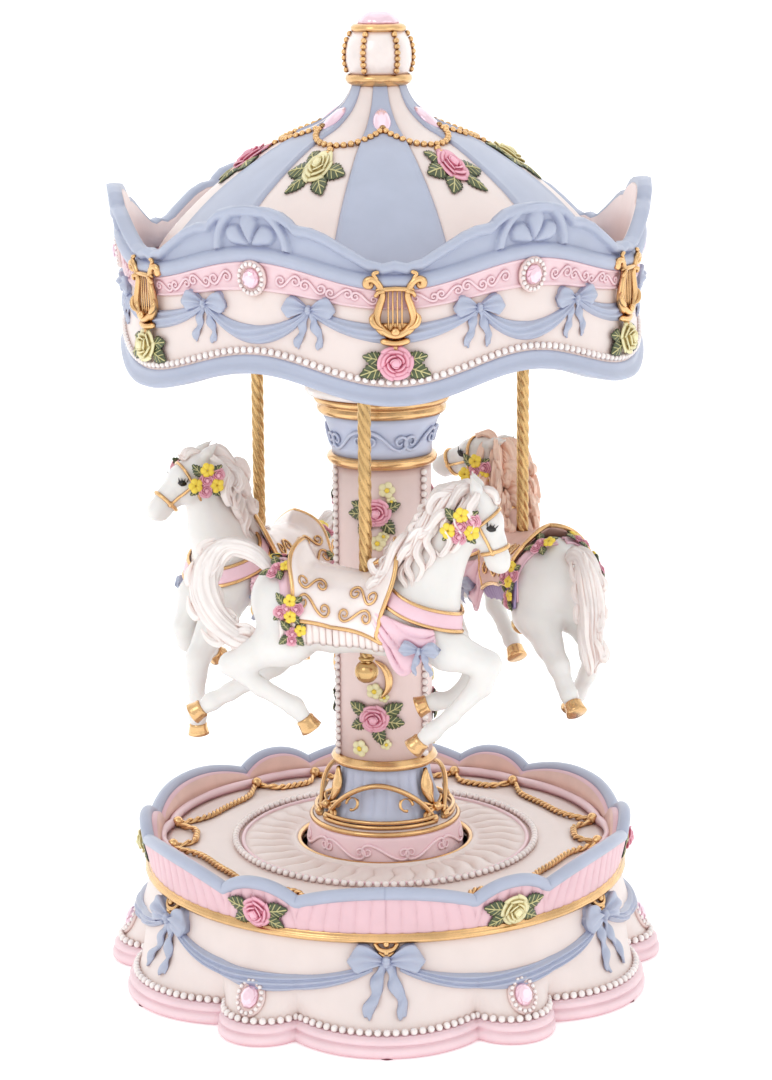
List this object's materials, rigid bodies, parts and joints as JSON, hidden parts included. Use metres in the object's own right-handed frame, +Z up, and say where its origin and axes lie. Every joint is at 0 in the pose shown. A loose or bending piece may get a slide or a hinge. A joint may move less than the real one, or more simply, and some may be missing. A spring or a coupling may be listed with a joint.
{
  "type": "carousel music box",
  "caption": "Wind-up carousel music box: horses on twisted poles turn and rise around a column, under a tent canopy, on a scalloped base.",
  "frame": {"origin": "centre of the base on the surface it stands on", "axes": "+Z up the column; -Y is the front, +X to the right seen from the front"},
  "size_m": [0.1712, 0.1712, 0.29],
  "materials": {
    "cream_enamel": "cream resin under semi-gloss lacquer",
    "blue_enamel": "periwinkle blue painted resin",
    "pink_enamel": "pastel pink painted resin",
    "gold_enamel": "gilded relief",
    "rail_enamel": "blue painted resin rail",
    "white_enamel": "white semi-gloss resin",
    "pink_stone": "pink faceted stones in pearl settings",
    "rose_paint": "painted resin flowers and leaves",
    "felt": "felt",
    "cover_board": "matt moulded plastic",
    "brass": "polished brass",
    "steel": "turned steel",
    "fan_plastic": "moulded plastic"
  },
  "bodies": {
    "base": {"base_shell": "cream_enamel", "felt_pads": "felt", "tray_rail": "rail_enamel", "tray_ring": "pink_enamel", "rim_band": "gold_enamel", "deck_plate": "cream_enamel", "base_gems": "pink_stone", "tray_roses": "rose_paint", "bottom_cover": "cover_board", "cover_screws": "steel", "movement_bedplate": "brass", "movement_screws": "steel", "comb": "steel", "comb_screws": "steel", "comb_ledge": "brass", "cylinder_brackets": "brass", "governor_brackets": "brass", "centre_post": "steel", "crown_gear": "brass"},
    "rotor": {"spring_barrel": "brass", "mainspring": "steel", "drive_shaft": "steel", "bush_lower": "brass", "bush_upper": "brass", "turntable_drum": "pink_enamel", "drum_cap": "cream_enamel", "column_base": "blue_enamel", "column_shaft": "cream_enamel", "column_rings": "gold_enamel", "capital": "blue_enamel", "hub_flange": "white_enamel", "base_frames": "gold_enamel", "ceiling_plate": "white_enamel", "cornice": "blue_enamel", "roof_shell": "blue_enamel", "lyre_mounts": "gold_enamel", "cornice_gems": "pink_stone", "roof_gems": "pink_stone", "finial_globe": "cream_enamel", "finial_rings": "gold_enamel", "finial_dome": "pink_enamel", "crank_brackets": "brass"},
    "music_cylinder": {"pin_cylinder": "brass", "cylinder_arbor": "steel"},
    "governor": {"governor_arbor": "steel", "governor_fan": "fan_plastic"},
    "key": {"winding_key": "brass", "winding_arbor": "steel"},
    "crank_front_body": {"crank_front": "steel"},
    "rider_front": {"horse_front": "white_enamel", "pole_front": "brass", "yoke_front": "steel"},
    "crank_right_body": {"crank_right": "steel"},
    "rider_right": {"horse_right": "white_enamel", "pole_right": "brass", "yoke_right": "steel"},
    "crank_left_body": {"crank_left": "steel"},
    "rider_left": {"horse_left": "white_enamel", "pole_left": "brass", "yoke_left": "steel"}
  },
  "joints": [
    {"name": "rotor_spin", "type": "hinge", "parent": "base", "child": "rotor", "pos_m": [0, 0, 0.1], "axis": [0, 0, 1], "continuous": true},
    {"name": "cylinder_spin", "type": "hinge", "parent": "base", "child": "music_cylinder", "pos_m": [0.02, 0, 0.02212], "axis": [1, 0, 0], "continuous": true},
    {"name": "governor_spin", "type": "hinge", "parent": "base", "child": "governor", "pos_m": [0.04, 0.00853, 0.02212], "axis": [1, 0, 0], "continuous": true},
    {"name": "key_wind", "type": "hinge", "parent": "base", "child": "key", "pos_m": [0, 0, 0.005], "axis": [0, 0, 1], "continuous": true},
    {"name": "crank_front_spin", "type": "hinge", "parent": "rotor", "child": "crank_front_body", "pos_m": [-0.00188, -0.0179, 0.20715], "axis": [-0.1045, -0.9945, 0], "continuous": true},
    {"name": "horse_front_rise", "type": "slide", "parent": "rotor", "child": "rider_front", "axis": [0, 0, 1], "range_m": [-0.005, 0.003]},
    {"name": "crank_right_spin", "type": "hinge", "parent": "rotor", "child": "crank_right_body", "pos_m": [0.01644, 0.00732, 0.20715], "axis": [0.9135, 0.4067, 0], "continuous": true},
    {"name": "horse_right_rise", "type": "slide", "parent": "rotor", "child": "rider_right", "axis": [0, 0, 1], "range_m": [-0.00192, 0.00608]},
    {"name": "crank_left_spin", "type": "hinge", "parent": "rotor", "child": "crank_left_body", "pos_m": [-0.01456, 0.01058, 0.20715], "axis": [-0.809, 0.5878, 0], "continuous": true},
    {"name": "horse_left_rise", "type": "slide", "parent": "rotor", "child": "rider_left", "axis": [0, 0, 1], "range_m": [-0.00508, 0.00292]}
  ],
  "couplings": [
    {"joint": "cylinder_spin", "follows": "rotor_spin", "ratio": 3},
    {"joint": "governor_spin", "follows": "rotor_spin", "ratio": -9},
    {"joint": "crank_front_spin", "follows": "rotor_spin", "ratio": -3},
    {"joint": "crank_right_spin", "follows": "rotor_spin", "ratio": -3},
    {"joint": "crank_left_spin", "follows": "rotor_spin", "ratio": -3}
  ]
}
